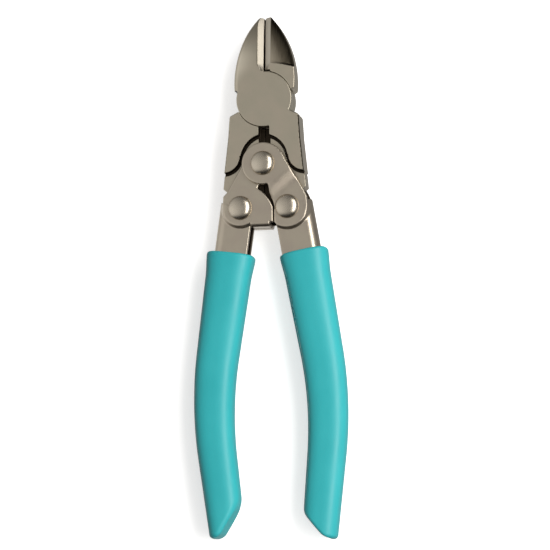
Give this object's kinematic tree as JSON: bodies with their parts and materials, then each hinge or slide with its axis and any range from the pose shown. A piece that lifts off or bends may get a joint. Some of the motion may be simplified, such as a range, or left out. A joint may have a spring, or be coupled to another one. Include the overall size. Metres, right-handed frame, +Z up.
{
  "type": "mosaic glass nippers",
  "caption": "Compound-lever hand nippers with pointed bevelled jaws, pressed-steel channel handles, domed rivets and bowed soft grips, for cutting glass and tile.",
  "frame": {"origin": "on the surface the tool lies on, under the middle of its bounding box", "axes": "+Y along the tool towards the jaw tips, +Z up out of the front face, +X to the right seen from the front"},
  "size_m": [0.0595, 0.2025, 0.0187],
  "materials": {
    "satin_nickel": "satin nickel plate with ground cutting bevels",
    "handle_steel": "satin nickel plate on pressed sheet",
    "rivet_steel": "smooth satin nickel plate",
    "teal_vinyl": "soft dipped vinyl with a low sheen"
  },
  "bodies": {
    "rear_jaw": {"rear_jaw": "satin_nickel", "jaw_pivot_pin": "satin_nickel"},
    "front_jaw": {"front_jaw": "satin_nickel"},
    "left_handle": {"left_handle": "handle_steel", "left_grip": "teal_vinyl", "left_rivet": "rivet_steel"},
    "right_handle": {"right_handle": "handle_steel", "right_grip": "teal_vinyl", "right_rivet": "rivet_steel", "centre_rivet": "rivet_steel", "centre_spacer": "handle_steel"}
  },
  "joints": [
    {"name": "left_handle_hinge", "type": "hinge", "parent": "rear_jaw", "child": "left_handle", "pos_m": [-0.01105, 0.0252, 0.00935], "axis": [0, 0, -1], "range_deg": [0, 16]},
    {"name": "jaw_hinge", "type": "hinge", "parent": "rear_jaw", "child": "front_jaw", "pos_m": [-0.00185, 0.0679, 0.00935], "axis": [0, 0, 1], "range_deg": [0, 17.6]},
    {"name": "right_handle_hinge", "type": "hinge", "parent": "front_jaw", "child": "right_handle", "pos_m": [0.00735, 0.0252, 0.00935], "axis": [0, 0, 1], "range_deg": [0, 16]}
  ],
  "couplings": [
    {"joint": "jaw_hinge", "follows": "left_handle_hinge", "ratio": 1.1},
    {"joint": "right_handle_hinge", "follows": "left_handle_hinge", "ratio": 1}
  ]
}
